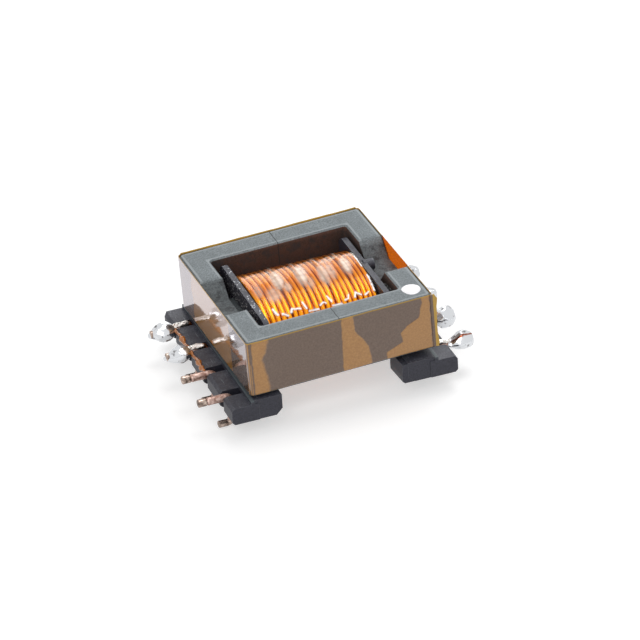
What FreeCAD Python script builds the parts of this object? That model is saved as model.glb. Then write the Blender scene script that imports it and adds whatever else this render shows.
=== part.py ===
import FreeCAD, Part
import math
import os
import re

import Sketcher
from FreeCAD import Placement, Rotation, Vector

# Surface-mount transformer on a flat E core: two ferrite halves butt against each other
# through a moulded bobbin, and film tape holds them together. +Z up, the board is Z = 0,
# X runs along the coil and Y along the two rows of pins. Millimetres.

SIZES = [
    # the ferrite core, measured in its own frame
    ("core_length", 15.0, "both halves, end to end"),
    ("core_width", 15.0, "across the two side legs"),
    ("core_height", 4.65, "thickness of the flat core"),
    ("side_leg", 2.0, "width of a side leg"),
    ("back_wall", 1.85, "thickness of the wall that joins the legs"),
    ("centre_leg_wide", 5.3, "centre leg across"),
    ("centre_leg_thick", 2.4, "centre leg, top to bottom"),
    ("centre_leg_rise", 0.2, "centre leg above the core's underside"),
    ("window_round", 0.3, "inner corners of the window"),
    ("corner_bevel", 0.2, "upright outer corners of the core"),
    ("notch_top", 5.5, "notch in the back wall, width at the top"),
    ("notch_floor", 3.0, "notch, width at its floor"),
    ("notch_depth", 1.4, "notch, depth from the top"),
    ("core_bevel", 0.12, "bevel along the core's top edges"),
    ("core_lift", 3.45, "core's underside above the board"),
    ("core_turn", 1.0, "core about Z, within the bobbin's play, in degrees"),
    ("core_tilt", -1.4, "core about Y, within the bobbin's play, in degrees"),
    # the moulded bobbin
    ("tube_play_wide", 0.15, "tube beside the centre leg, each side"),
    ("tube_play_high", 0.15, "tube above and below the centre leg"),
    ("tube_wall", 0.35, "wall of the tube"),
    ("tube_round", 0.5, "outer corners of the tube"),
    ("flange_play", 0.5, "flange off the core's wall"),
    ("flange_thick", 0.45, "thickness of a flange"),
    ("flange_side_play", 0.15, "flange beside a side leg"),
    ("flange_high", 5.7, "flange, top to bottom"),
    ("flange_round", 1.0, "corners of a flange"),
    ("peg_width", 0.9, "diameter of the locating peg"),
    ("peg_reach", 0.6, "peg beyond the flange"),
    ("peg_rise", 2.5, "peg above the coil's axis"),
    ("rail_overhang", 1.65, "pin rail's outer face beyond the end of the core"),
    ("rail_wide", 2.2, "pin rail across"),
    ("rail_length", 16.1, "pin rail, end to end"),
    ("rail_lift", 1.4, "underside of the rail above the board"),
    ("ridge_top", 2.8, "top of the ridges between the pins"),
    ("edge_bevel", 0.25, "bevel along the rail's outer top edge"),
    ("foot_bevel", 0.2, "bevel along the rail's outer bottom edge"),
    ("rim_inset", 1.57, "outer face of the rim from the rail's outer face"),
    ("rim_thick", 0.25, "thickness of the rim under the end of the core"),
    ("rim_top", 3.1, "top of the rim and of the end blocks"),
    ("block_depth", 1.85, "end block from the rail's inner face towards the middle"),
    ("block_start", 0.025, "end block beyond the axis of the last pin"),
    ("block_setback", 0.06, "end block's end face behind the rail's"),
    ("block_bevel", 0.5, "bevel at the end block's inner bottom edge"),
    ("rib_wide", 1.1, "width of the ribs from the flange to the rail"),
    ("rib_bottom", 1.75, "underside of the ribs"),
    ("rib_thick", 0.85, "thickness of the ribs"),
    ("groove_wide", 0.9, "groove for a pin or lead"),
    ("groove_recess", 0.35, "groove's depth in the rail's outer face"),
    ("tunnel_bottom", 1.9, "lead tunnel under the rim, bottom"),
    ("tunnel_top", 2.65, "lead tunnel under the rim, top"),
    ("lead_slot", 1.15, "slot for a lead in a flange's lower edge"),
    ("slot_inset", 1.2, "outer slots from the side of the flange"),
    # the terminals
    ("pin_width", 0.6, "diameter of the pin wire"),
    ("pin_pitch", 3.75, "from pin to pin"),
    ("pin_inset", 0.7, "upright stretch of the pin behind the rail's outer face"),
    ("pin_play", 0.01, "moulding round the pin"),
    ("post_height", 2.5, "axis of the wrapping post above the board"),
    ("post_length", 1.85, "wrapping post beyond the rail"),
    ("post_play", 0.2, "floor of the groove below the post"),
    ("foot_height", 0.27, "axis of the solder foot, its underside coined flat"),
    ("foot_length", 0.45, "solder foot beyond the rail"),
    ("foot_bend", 0.45, "bend above the solder foot, along each leg"),
    # the coil
    ("coil_side_margin", 0.45, "flange beyond the side of the wound coil"),
    ("coil_top_margin", 0.2, "flange above the top of the wound coil"),
    ("coil_round", 2.2, "corners of the coil's section"),
    ("layer_gap", 0.02, "between one layer and the next"),
    ("wrap_thick", 0.06, "clear film round the coil"),
    ("film_margin", 0.05, "films off the flanges"),
    ("wire_width", 0.42, "outer winding's enamelled wire"),
    ("winding_margin", 0.08, "first and last turn off the flanges"),
    ("turn_count", 21, "turns in the outer layer"),
    ("turn_valley", 0.13, "depth of the valley between two turns"),
    ("film_thick", 0.06, "film between the two windings"),
    ("lead_width", 0.36, "stripped lead"),
    # tape, mark, cement and solder
    ("tape_gap", 0.01, "film tape off the core"),
    ("tape_thick", 0.06, "film tape round the core"),
    ("tape_margin", 0.2, "bare core below the tape"),
    ("tape_height", 4.35, "width of the tape"),
    ("tape_end", 0.42, "loose end of the tape past the corner"),
    ("dot_width", 1.5, "diameter of the polarity dot"),
    ("dot_thick", 0.03, "paint of the dot"),
    ("dot_from_end", 1.2, "dot from the right end of the core"),
    ("dot_from_side", 1.35, "dot from the front of the core"),
    ("cement_clear", 0.2, "cement bead off the side of the centre leg"),
    ("cement_depth", 1.9, "cement bead, top to bottom"),
    ("cement_gap", 0.03, "cement bead off the flange and the wall"),
    ("solder_gap", 0.2, "solder joint off the rail"),
    ("solder_neck", 1.2, "solder joint's diameter where it begins"),
    ("solder_swell", 1.8, "solder joint's diameter where it is widest"),
    ("solder_crown", 0.5, "widest place from where the joint begins"),
    ("solder_tip", 0.25, "solder beyond the post's tip"),
    ("solder_end", 0.8, "diameter of the solder's blunt end"),
]

ALIASES = {alias for alias, value, meaning in SIZES}

doc = FreeCAD.newDocument("transformer")
sheet = doc.addObject("Spreadsheet::Sheet", "Sizes")
for row, (alias, value, meaning) in enumerate(SIZES, 1):
    sheet.set(f"A{row}", alias)
    sheet.set(f"B{row}", str(value))
    sheet.set(f"C{row}", meaning)
    sheet.setAlias(f"B{row}", alias)
doc.recompute()

# sizes that follow from the sheet
AXIS = "(core_lift + centre_leg_rise + centre_leg_thick / 2)"
TUBE_HALF_WIDE = "(centre_leg_wide / 2 + tube_play_wide + tube_wall)"
TUBE_HALF_HIGH = "(centre_leg_thick / 2 + tube_play_high + tube_wall)"
FLANGE_FACE = "(core_length / 2 - back_wall - flange_play)"
FLANGE_INNER = f"({FLANGE_FACE} - flange_thick)"
FLANGE_HALF_WIDE = "(core_width / 2 - side_leg - flange_side_play)"
COIL_HALF_WIDE = f"({FLANGE_HALF_WIDE} - coil_side_margin)"
COIL_HALF_HIGH = "(flange_high / 2 - coil_top_margin)"
TURN_PITCH = f"(2 * ({FLANGE_INNER} - winding_margin) / turn_count)"
FILM_LENGTH = f"(2 * ({FLANGE_INNER} - film_margin))"
RAIL_OUTER = "(core_length / 2 + rail_overhang)"
RAIL_INNER = f"({RAIL_OUTER} - rail_wide)"
RIM_OUTER = f"({RAIL_OUTER} - rim_inset)"
RIM_INNER = f"({RIM_OUTER} - rim_thick)"
PIN_COLUMN = f"({RAIL_OUTER} - pin_inset)"
POST_REACH = f"({RAIL_OUTER} + post_length)"
SOLDER_START = f"({RAIL_OUTER} + solder_gap)"
SOLDER_END = f"({POST_REACH} + solder_tip)"
OUTER_SLOT = f"({FLANGE_HALF_WIDE} - slot_inset)"
TAPE_HALF_LONG = "(core_length / 2 + tape_gap)"
TAPE_HALF_WIDE = "(core_width / 2 + tape_gap)"
PIN_PLACES = ("1.5 * pin_pitch", "0.5 * pin_pitch", "-0.5 * pin_pitch", "-1.5 * pin_pitch")
TOLERANCE = 1e-4


def formula(text):
    """The text with each alias pointed at the sheet."""
    return re.sub(r"[a-z]\w+", lambda word: "Sizes." + word[0] if word[0] in ALIASES else word[0], text)


def number(text):
    """The formula's value."""
    return float(sheet.evalExpression(formula(text)))


def bind(thing, name, text):
    """Ties a property of an object to a formula."""
    thing.setExpression(name, formula(text))


def new_body(label):
    """An empty body under its own label."""
    body = doc.addObject("PartDesign::Body", label)
    body.Label = label
    return body


def new_sketch(body, plane, name, offset="0"):
    """A sketch on one of the body's own planes, moved along that plane's normal by a formula."""
    sketch = body.newObject("Sketcher::SketchObject", name)
    support = [feature for feature in body.Origin.OriginFeatures if feature.Role == plane][0]
    sketch.AttachmentSupport = [(support, "")]
    sketch.MapMode = "FlatFace"
    if offset != "0":
        bind(sketch, "AttachmentOffset.Base.z", offset)
    return sketch


def place_point(sketch, geometry, end, x, y):
    """Holds a point of the sketch at two formulas from the origin."""
    for kind, text, axis in (("DistanceX", x, -2), ("DistanceY", y, -1)):
        if text == "0":
            sketch.addConstraint(Sketcher.Constraint("PointOnObject", geometry, end, axis))
        else:
            index = sketch.addConstraint(Sketcher.Constraint(kind, -1, 1, geometry, end, number(text)))
            bind(sketch, f"Constraints[{index}]", text)


def draw_outline(sketch, corners):
    """A closed outline of straight lines through corners given as formulas."""
    points = [Vector(number(x), number(y), 0) for x, y in corners]
    count = len(points)
    first = sketch.GeometryCount
    sketch.addGeometry([Part.LineSegment(points[i], points[(i + 1) % count]) for i in range(count)])
    for i, (x, y) in enumerate(corners):
        following = first + (i + 1) % count
        sketch.addConstraint(Sketcher.Constraint("Coincident", first + i, 2, following, 1))
        place_point(sketch, first + i, 1, x, y)


def draw_rectangle(sketch, left, bottom, right, top):
    """A rectangle between four formulas."""
    draw_outline(sketch, [(left, bottom), (right, bottom), (right, top), (left, top)])


def draw_rounded(sketch, half_x, half_y, middle_y, radius):
    """A rectangle with round corners, centred on the sketch's upright axis."""
    reach_x, reach_y = number(f"{half_x} - {radius}"), number(f"{half_y} - {radius}")
    middle, size = number(middle_y), number(radius)
    first = sketch.GeometryCount
    arcs = []
    for i, (x, y) in enumerate(((1, -1), (1, 1), (-1, 1), (-1, -1))):
        circle = Part.Circle(Vector(x * reach_x, middle + y * reach_y, 0), Vector(0, 0, 1), size)
        arcs.append(Part.ArcOfCircle(circle, (i - 1) * math.pi / 2, i * math.pi / 2))
    sketch.addGeometry(arcs)
    sketch.addGeometry([Part.LineSegment(arcs[i].EndPoint, arcs[(i + 1) % 4].StartPoint) for i in range(4)])
    for i, (x, y) in enumerate((("", "-"), ("", ""), ("-", ""), ("-", "-"))):
        arc, line = first + i, first + 4 + i
        sketch.addConstraint(Sketcher.Constraint("Tangent", arc, 2, line, 1))
        sketch.addConstraint(Sketcher.Constraint("Tangent", line, 2, first + (i + 1) % 4, 1))
        place_point(sketch, arc, 3, f"{x}({half_x} - {radius})", f"{middle_y} + {y}({half_y} - {radius})")
        index = sketch.addConstraint(Sketcher.Constraint("Radius", arc, size))
        bind(sketch, f"Constraints[{index}]", radius)


def draw_circle(sketch, x, y, diameter):
    """A circle with its centre at two formulas."""
    circle = Part.Circle(Vector(number(x), number(y), 0), Vector(0, 0, 1), number(diameter) / 2)
    index = sketch.addGeometry(circle)
    place_point(sketch, index, 3, x, y)
    size = sketch.addConstraint(Sketcher.Constraint("Diameter", index, number(diameter)))
    bind(sketch, f"Constraints[{size}]", diameter)


def draw_path(sketch, corners):
    """An open path of straight lines through corners given as formulas."""
    points = [Vector(number(x), number(y), 0) for x, y in corners]
    sketch.addGeometry([Part.LineSegment(near, far) for near, far in zip(points, points[1:])])
    for i, (x, y) in enumerate(corners[:-1]):
        place_point(sketch, i, 1, x, y)
        if i:
            sketch.addConstraint(Sketcher.Constraint("Coincident", i - 1, 2, i, 1))
    place_point(sketch, len(corners) - 2, 2, *corners[-1])


def draw_coil_section(sketch, inset):
    """The coil's section, drawn in by the inset: every layer shares the centres of its corners."""
    draw_rounded(
        sketch, f"({COIL_HALF_WIDE} - {inset})", f"({COIL_HALF_HIGH} - {inset})", AXIS,
        f"(coil_round - {inset})",
    )


def extrude(body, kind, sketch, name, length, symmetric=False, backwards=False):
    """A pad or a pocket of the sketch."""
    feature = body.newObject(f"PartDesign::{kind}", name)
    feature.Profile = sketch
    feature.SideType = "Symmetric" if symmetric else "One side"
    feature.Reversed = backwards
    bind(feature, "Length", length)
    sketch.Visibility = False
    return feature


def dress(body, kind, name, base, size, chosen):
    """A fillet or chamfer on the edges of the base feature that the test picks."""
    doc.recompute()
    names = [f"Edge{i}" for i, edge in enumerate(base.Shape.Edges, 1) if chosen(edge)]
    feature = body.newObject(f"PartDesign::{kind}", name)
    feature.Base = (base, names)
    bind(feature, "Radius" if kind == "Fillet" else "Size", size)
    return feature


def runs_along(edge, direction):
    """Whether an edge is straight and parallel to the direction."""
    return edge.Curve.TypeId == "Part::GeomLine" and abs(edge.Curve.Direction.dot(direction)) > 1 - TOLERANCE


def lies_at(edge, axis, place):
    """Whether the whole edge lies in the plane at the place on the axis (0, 1 or 2)."""
    return all(abs(vertex.Point[axis] - place) < TOLERANCE for vertex in edge.Vertexes)


def seat_on_core(body, own_turn=0):
    """Puts a piece made in the core's frame where the core sits, after a turn of its own about Z."""
    upright = "rotation(vector(0; 0; 1); {})"
    tilt = "rotation(vector(0; 1; 0); core_tilt)"
    turns = f"{upright.format('core_turn')} * {tilt} * {upright.format(own_turn)}"
    bind(body, "Placement", f"placement(vector(0; 0; core_lift); {turns})")
    return body


def make_core_half(label, own_turn):
    """One E-shaped ferrite half, from the seam at X = 0 to its back wall."""
    body = new_body(label)
    half_long, half_wide = "core_length / 2", "core_width / 2"
    window_end = "core_length / 2 - back_wall"
    block = new_sketch(body, "XY_Plane", "block_outline")
    draw_rectangle(block, "0", f"-{half_wide}", half_long, half_wide)
    slab = extrude(body, "Pad", block, "block", "core_height")
    slab = dress(
        body, "Chamfer", "upright_corners", slab, "corner_bevel",
        lambda edge: runs_along(edge, Vector(0, 0, 1)) and lies_at(edge, 0, number(half_long)),
    )
    window = new_sketch(body, "XY_Plane", "window_outline")
    draw_rectangle(window, "-side_leg", f"side_leg - {half_wide}", window_end, f"{half_wide} - side_leg")
    opening = extrude(body, "Pocket", window, "window", "core_height", backwards=True)
    opening = dress(
        body, "Fillet", "window_corners", opening, "window_round",
        lambda edge: runs_along(edge, Vector(0, 0, 1)) and lies_at(edge, 0, number(window_end)),
    )
    leg = new_sketch(body, "XY_Plane", "centre_leg_outline", "centre_leg_rise")
    draw_rectangle(leg, "0", "-centre_leg_wide / 2", "core_length / 2 - back_wall / 2", "centre_leg_wide / 2")
    extrude(body, "Pad", leg, "centre_leg", "centre_leg_thick")
    gap = new_sketch(body, "YZ_Plane", "notch_outline")
    draw_outline(gap, [
        ("-notch_floor / 2", "core_height - notch_depth"), ("notch_floor / 2", "core_height - notch_depth"),
        ("notch_top / 2", "core_height"), ("-notch_top / 2", "core_height"),
    ])
    notch = extrude(body, "Pocket", gap, "notch", "core_length", backwards=True)
    dress(
        body, "Chamfer", "top_bevel", notch, "core_bevel",
        lambda edge: lies_at(edge, 2, number("core_height")) and not lies_at(edge, 0, 0),
    )
    return seat_on_core(body, own_turn)


def make_bobbin():
    """The moulded bobbin: spool, two pin rails with end blocks, ribs, grooves and lead tunnels."""
    body = new_body("bobbin")
    spool = new_sketch(body, "YZ_Plane", "flange_outline")
    draw_rounded(spool, FLANGE_HALF_WIDE, "flange_high / 2", AXIS, "flange_round")
    extrude(body, "Pad", spool, "spool_blank", f"2 * {FLANGE_FACE}", symmetric=True)
    space = new_sketch(body, "YZ_Plane", "coil_space_outline")
    draw_rectangle(space, "-core_width", f"{AXIS} - flange_high", "core_width", f"{AXIS} + flange_high")
    draw_rounded(space, TUBE_HALF_WIDE, TUBE_HALF_HIGH, AXIS, "tube_round")
    extrude(body, "Pocket", space, "coil_space", f"2 * {FLANGE_INNER}", symmetric=True)
    ribs = new_sketch(body, "XY_Plane", "rib_outlines", "rib_bottom")
    for side in ("", "-"):
        for middle in ("0", "0.85 * pin_pitch", "-0.85 * pin_pitch"):
            draw_rectangle(
                ribs, f"{side}({FLANGE_FACE} - flange_thick / 2)", f"{middle} - rib_wide / 2",
                f"{side}({RAIL_INNER} + rail_wide / 4)", f"{middle} + rib_wide / 2",
            )
    extrude(body, "Pad", ribs, "ribs", "rib_thick")
    make_rails(body)
    make_grooves(body)
    hole = new_sketch(body, "YZ_Plane", "leg_hole_outline")
    draw_rectangle(
        hole, "-(centre_leg_wide / 2 + tube_play_wide)", f"{AXIS} - centre_leg_thick / 2 - tube_play_high",
        "centre_leg_wide / 2 + tube_play_wide", f"{AXIS} + centre_leg_thick / 2 + tube_play_high",
    )
    extrude(body, "Pocket", hole, "leg_hole", f"2 * {FLANGE_FACE} + 2 * flange_thick", symmetric=True)
    peg = new_sketch(body, "YZ_Plane", "peg_outline", f"{FLANGE_FACE} - flange_thick / 2")
    draw_circle(peg, "0.15 * notch_floor", f"{AXIS} + peg_rise", "peg_width")
    extrude(body, "Pad", peg, "peg", "flange_thick / 2 + peg_reach")
    return body


def make_rails(body):
    """The two pin rails, drawn as their section, and the blocks at their ends."""
    rails = new_sketch(body, "XZ_Plane", "rail_sections")
    blocks = new_sketch(body, "XZ_Plane", "block_sections", "rail_length / 2 - block_setback")
    for side in ("", "-"):
        draw_outline(rails, [(side + x, z) for x, z in (
            (RAIL_INNER, "rail_lift"), (f"({RAIL_OUTER} - foot_bevel)", "rail_lift"),
            (RAIL_OUTER, "rail_lift + foot_bevel"), (RAIL_OUTER, "ridge_top - edge_bevel"),
            (f"({RAIL_OUTER} - edge_bevel)", "ridge_top"), (RIM_OUTER, "ridge_top"),
            (RIM_OUTER, "rim_top"), (RIM_INNER, "rim_top"), (RIM_INNER, "ridge_top"),
            (RAIL_INNER, "ridge_top"),
        )])
        draw_outline(blocks, [(side + x, z) for x, z in (
            (f"({RAIL_INNER} - block_depth + block_bevel)", "rail_lift"), (RIM_INNER, "rail_lift"),
            (RIM_INNER, "rim_top"), (f"({RAIL_INNER} - block_depth)", "rim_top"),
            (f"({RAIL_INNER} - block_depth)", "rail_lift + block_bevel"),
        )])
    beam = extrude(body, "Pad", rails, "rails", "rail_length", symmetric=True)
    dress(
        body, "Chamfer", "rail_ends", beam, "edge_bevel",
        lambda edge: runs_along(edge, Vector(0, 0, 1)) and lies_at(edge, 1, number("rail_length / 2"))
        and abs(edge.Vertexes[0].X) > number(RAIL_OUTER) - TOLERANCE,
    )
    inner_end = "(1.5 * pin_pitch + block_start)"
    near = extrude(
        body, "Pad", blocks, "front_blocks", f"rail_length / 2 - block_setback - {inner_end}", backwards=True
    )
    doc.recompute()
    far = body.newObject("PartDesign::Mirrored", "back_blocks")
    far.Originals = [near]
    far.MirrorPlane = ([plane for plane in body.Origin.OriginFeatures if plane.Role == "XZ_Plane"][0], [""])
    body.Tip = far


def make_grooves(body):
    """Pin grooves, square pin holes, lead tunnels and the slots in the flanges' lower edges."""
    grooves = new_sketch(body, "XY_Plane", "groove_outlines", "post_height - pin_width / 2 - post_play")
    recesses = new_sketch(body, "XY_Plane", "recess_outlines", "0")
    tunnels = new_sketch(body, "XY_Plane", "tunnel_outlines", "tunnel_bottom")
    holes = new_sketch(body, "XY_Plane", "pin_hole_outlines", "0")
    slots = new_sketch(body, "YZ_Plane", "lead_slot_outlines", "0")
    for side in ("", "-"):
        for place in PIN_PLACES:
            low, high = f"{place} - groove_wide / 2", f"{place} + groove_wide / 2"
            outside = f"{side}({RAIL_OUTER} + groove_wide)"
            draw_rectangle(grooves, side + RIM_OUTER, low, outside, high)
            draw_rectangle(recesses, f"{side}({RAIL_OUTER} - groove_recess)", low, outside, high)
            draw_rectangle(
                tunnels, f"{side}({RAIL_INNER} - rib_wide / 2)", low, f"{side}({RIM_OUTER} + rim_thick)", high
            )
            half = "(pin_width / 2 + pin_play)"
            draw_rectangle(
                holes, f"{side}({PIN_COLUMN} - {half})", f"{place} - {half}",
                f"{side}({PIN_COLUMN} + {half})", f"{place} + {half}",
            )
    for place in (OUTER_SLOT, "0.5 * pin_pitch", "-0.5 * pin_pitch", f"-{OUTER_SLOT}"):
        draw_rectangle(
            slots, f"{place} - lead_slot / 2", f"{AXIS} - flange_high",
            f"{place} + lead_slot / 2", f"{AXIS} - flange_high / 4",
        )
    extrude(body, "Pocket", grooves, "grooves", "rim_top", backwards=True)
    extrude(body, "Pocket", recesses, "recesses", "rim_top", backwards=True)
    extrude(body, "Pocket", tunnels, "tunnels", "tunnel_top - tunnel_bottom", backwards=True)
    extrude(body, "Pocket", holes, "pin_holes", "rim_top", backwards=True)
    extrude(body, "Pocket", slots, "lead_slots", f"2 * {FLANGE_FACE}", symmetric=True)


def make_terminal(label, place, turned):
    """A pin of round wire bent to a C: wrapping post above, upright in the rail, solder foot below.

    The wire is mitred at its bends; the one above the foot has a short slanted run.
    """
    body = new_body(label)
    path = new_sketch(body, "XZ_Plane", "pin_path")
    draw_path(path, [
        (POST_REACH, "post_height"), (PIN_COLUMN, "post_height"), (PIN_COLUMN, "foot_height + foot_bend"),
        (f"{PIN_COLUMN} + foot_bend", "foot_height"), (f"{RAIL_OUTER} + foot_length", "foot_height"),
    ])
    section = new_sketch(body, "YZ_Plane", "pin_section", POST_REACH)
    draw_circle(section, "0", "post_height", "pin_width")
    wire = body.newObject("PartDesign::AdditivePipe", "pin_wire")
    wire.Profile = section
    wire.Spine = path
    wire.Transition = "Right corner"
    sole = new_sketch(body, "XZ_Plane", "coined_sole")
    draw_rectangle(sole, "0", "-pin_width", POST_REACH, "0")
    extrude(body, "Pocket", sole, "coining", "2 * pin_width", symmetric=True)
    body.Placement = Placement(Vector(), Rotation(Vector(0, 0, 1), 180 if turned else 0))
    bind(body, "Placement.Base.y", place)
    return body


def make_layer(label, inset, thickness, length):
    """A plain sleeve of the coil."""
    body = new_body(label)
    ring = new_sketch(body, "YZ_Plane", "layer_section")
    draw_coil_section(ring, f"({inset})")
    draw_coil_section(ring, f"({inset} + {thickness})")
    extrude(body, "Pad", ring, "layer", length, symmetric=True)
    return body


def make_outer_winding(inset):
    """The visible layer: a sleeve with one ridge for each turn, side by side along X."""
    body = new_body("outer_winding")
    core = new_sketch(body, "YZ_Plane", "winding_core")
    draw_coil_section(core, f"({inset} + turn_valley)")
    extrude(body, "Pad", core, "winding_blank", f"turn_count * {TURN_PITCH}", symmetric=True)
    turn = new_sketch(body, "YZ_Plane", "turn_section", f"(1 - turn_count) * {TURN_PITCH} / 2")
    draw_coil_section(turn, f"({inset})")
    ridge = extrude(body, "Pad", turn, "turn", TURN_PITCH, symmetric=True)
    bind(ridge, "TaperAngle", f"-atan(turn_valley / ({TURN_PITCH} / 2)) * 0.9")
    doc.recompute()
    turns = body.newObject("PartDesign::LinearPattern", "turns")
    turns.Originals = [ridge]
    turns.Direction = ([axis for axis in body.Origin.OriginFeatures if axis.Role == "X_Axis"][0], [""])
    bind(turns, "Occurrences", "turn_count")
    bind(turns, "Length", f"(turn_count - 1) * {TURN_PITCH}")
    body.Tip = turns
    inside = new_sketch(body, "YZ_Plane", "winding_inside")
    draw_coil_section(inside, f"({inset} + wire_width)")
    extrude(body, "Pocket", inside, "winding_hollow", "2 * core_length", symmetric=True)
    return body


def make_inner_winding(inset):
    """The layer next to the tube, hidden by the film and the outer winding."""
    body = new_body("inner_winding")
    outer = new_sketch(body, "YZ_Plane", "inner_winding_section")
    draw_coil_section(outer, f"({inset})")
    draw_rounded(
        outer, f"({TUBE_HALF_WIDE} + layer_gap)", f"({TUBE_HALF_HIGH} + layer_gap)", AXIS,
        "(tube_round + layer_gap)",
    )
    extrude(body, "Pad", outer, "winding", f"2 * ({FLANGE_INNER} - wire_width)", symmetric=True)
    return body


def make_lead(label, place, slot, side):
    """A stripped end of the coil: out of a flange slot, through the tunnel and over its post."""
    y, slot_y = number(place), number(slot)
    in_tunnel = number("tunnel_bottom + lead_width")
    over_post = number("post_height + pin_width / 2 + lead_width / 2 + layer_gap")
    rise = number(f"{RIM_OUTER} + lead_width / 2 + layer_gap")
    route = [Vector(number(f"{FLANGE_INNER} - layer_gap"), slot_y, in_tunnel)]
    if slot_y != y:
        route.append(Vector(number(RAIL_INNER), y, in_tunnel))
    route.append(Vector(rise, y, in_tunnel))
    route.append(Vector(rise, y, over_post))
    route.append(Vector(number(SOLDER_START), y, over_post))
    ring = Part.Circle(route[0], route[1] - route[0], number("lead_width / 2"))
    lead = doc.addObject("Part::Feature", label)
    lead.Label = label
    mitred = 1
    lead.Shape = Part.makePolygon(route).makePipeShell([Part.Wire(ring.toShape())], True, True, mitred)
    lead.Placement = Placement(Vector(), Rotation(Vector(0, 0, 1), 0 if side > 0 else 180))
    return lead


def make_core_tape():
    """Film tape once round the core, with its loose end past the front right corner."""
    body = new_body("core_tape")
    band = new_sketch(body, "XY_Plane", "band_outline", "tape_margin")
    outer_x, outer_y = f"({TAPE_HALF_LONG} + tape_thick)", f"({TAPE_HALF_WIDE} + tape_thick)"
    draw_rounded(band, outer_x, outer_y, "0", "(corner_bevel + tape_gap + tape_thick)")
    draw_rounded(band, TAPE_HALF_LONG, TAPE_HALF_WIDE, "0", "(corner_bevel + tape_gap)")
    extrude(body, "Pad", band, "band", "tape_height")
    end = new_sketch(body, "XY_Plane", "loose_end_outline", "tape_margin")
    draw_rectangle(
        end, "core_length / 2 - side_leg / 2", f"-{outer_y}", f"{outer_x} + tape_end", f"-{TAPE_HALF_WIDE}"
    )
    extrude(body, "Pad", end, "loose_end", "tape_height")
    return seat_on_core(body)


def make_polarity_dot():
    """Paint dot on top of the core that marks the first pin."""
    body = new_body("polarity_dot")
    spot = new_sketch(body, "XY_Plane", "dot_outline", "core_height")
    draw_circle(spot, "core_length / 2 - dot_from_end", "-(core_width / 2 - dot_from_side)", "dot_width")
    extrude(body, "Pad", spot, "dot", "dot_thick")
    return seat_on_core(body)


def make_cement():
    """Bead of cement between the right flange and the core's wall, at the front."""
    body = new_body("core_cement")
    bead = new_sketch(body, "XY_Plane", "bead_outline", f"{AXIS} + flange_high / 2 - cement_depth")
    wall = "core_length / 2 - back_wall - core_height * abs(sin(core_tilt * 1deg))"
    draw_rectangle(
        bead, f"{FLANGE_FACE} + cement_gap", f"-({FLANGE_HALF_WIDE} - flange_round / 2)",
        f"{wall} - cement_gap", "-(centre_leg_wide / 2 + cement_clear)",
    )
    extrude(body, "Pad", bead, "bead", "cement_depth - 2 * cement_gap")
    return body


def make_solder(label, place, turned):
    """A solder joint turned about its post: a neck at the rail, widest just beyond it, a blunt tip."""
    body = new_body(label)
    profile = new_sketch(body, "XZ_Plane", "joint_profile")
    draw_outline(profile, [
        (SOLDER_START, "post_height + solder_neck / 2"),
        (f"{SOLDER_START} + solder_crown", "post_height + solder_swell / 2"),
        (SOLDER_END, "post_height + solder_end / 2"), (SOLDER_END, "post_height"),
        (POST_REACH, "post_height"), (POST_REACH, "post_height + pin_width / 2"),
        (SOLDER_START, "post_height + pin_width / 2"),
    ])
    axis = new_sketch(body, "XY_Plane", "joint_axis", "post_height")
    draw_path(axis, [("0", "0"), (POST_REACH, "0")])
    joint = body.newObject("PartDesign::Revolution", "joint")
    joint.Profile = profile
    joint.ReferenceAxis = (axis, ["Edge1"])
    joint.Angle = 360
    body.Placement = Placement(Vector(), Rotation(Vector(0, 0, 1), 180 if turned else 0))
    bind(body, "Placement.Base.y", place)
    return body


def check_and_write(pieces):
    """Stops on a failed object, then writes each piece to its own file."""
    doc.recompute()
    for thing in doc.Objects:
        if {"Invalid", "Error"} & set(thing.State):
            raise RuntimeError(f"{thing.Label} failed: {thing.State}")
    for piece in pieces:
        shape = piece.Shape
        if shape.isNull() or not shape.isValid() or len(shape.Solids) != 1:
            raise RuntimeError(f"{piece.Label} is not one valid solid")
    os.makedirs("parts", exist_ok=True)
    for piece in pieces:
        piece.Shape.exportStep(f"parts/{piece.Label}.step")
        print(f"{piece.Label:18s} {piece.Shape.Volume:9.3f} mm3")


winding_inset = "wrap_thick + layer_gap"
film_inset = f"{winding_inset} + wire_width + layer_gap"
pieces = [
    make_core_half("core_half_right", 0),
    make_core_half("core_half_left", 180),
    make_bobbin(),
    make_layer("coil_wrap", "0", "wrap_thick", FILM_LENGTH),
    make_outer_winding(winding_inset),
    make_layer("interlayer_film", film_inset, "film_thick", FILM_LENGTH),
    make_inner_winding(f"{film_inset} + film_thick + layer_gap"),
    make_core_tape(),
    make_polarity_dot(),
    make_cement(),
]
RIGHT_SIDE = range(1, 5)
SOLDERED = range(1, 7)
for pin in range(1, 9):
    right = pin in RIGHT_SIDE
    place = PIN_PLACES[4 - pin] if right else PIN_PLACES[pin - 5]
    own_place = place if right else f"-({place})"
    pieces.append(make_terminal(f"terminal_{pin}", place, not right))
    if pin in SOLDERED:
        slot = OUTER_SLOT if "1.5" in place else "0.5 * pin_pitch"
        sign = "-" if number(own_place) < 0 else ""
        pieces.append(make_lead(f"lead_{pin}", own_place, f"{sign}({slot})", 1 if right else -1))
        pieces.append(make_solder(f"solder_joint_{pin}", place, not right))

check_and_write(pieces)
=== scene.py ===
"""Looks of a surface-mount transformer: a ferrite E core, an orange coil and a black bobbin on pins."""
import math

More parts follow.
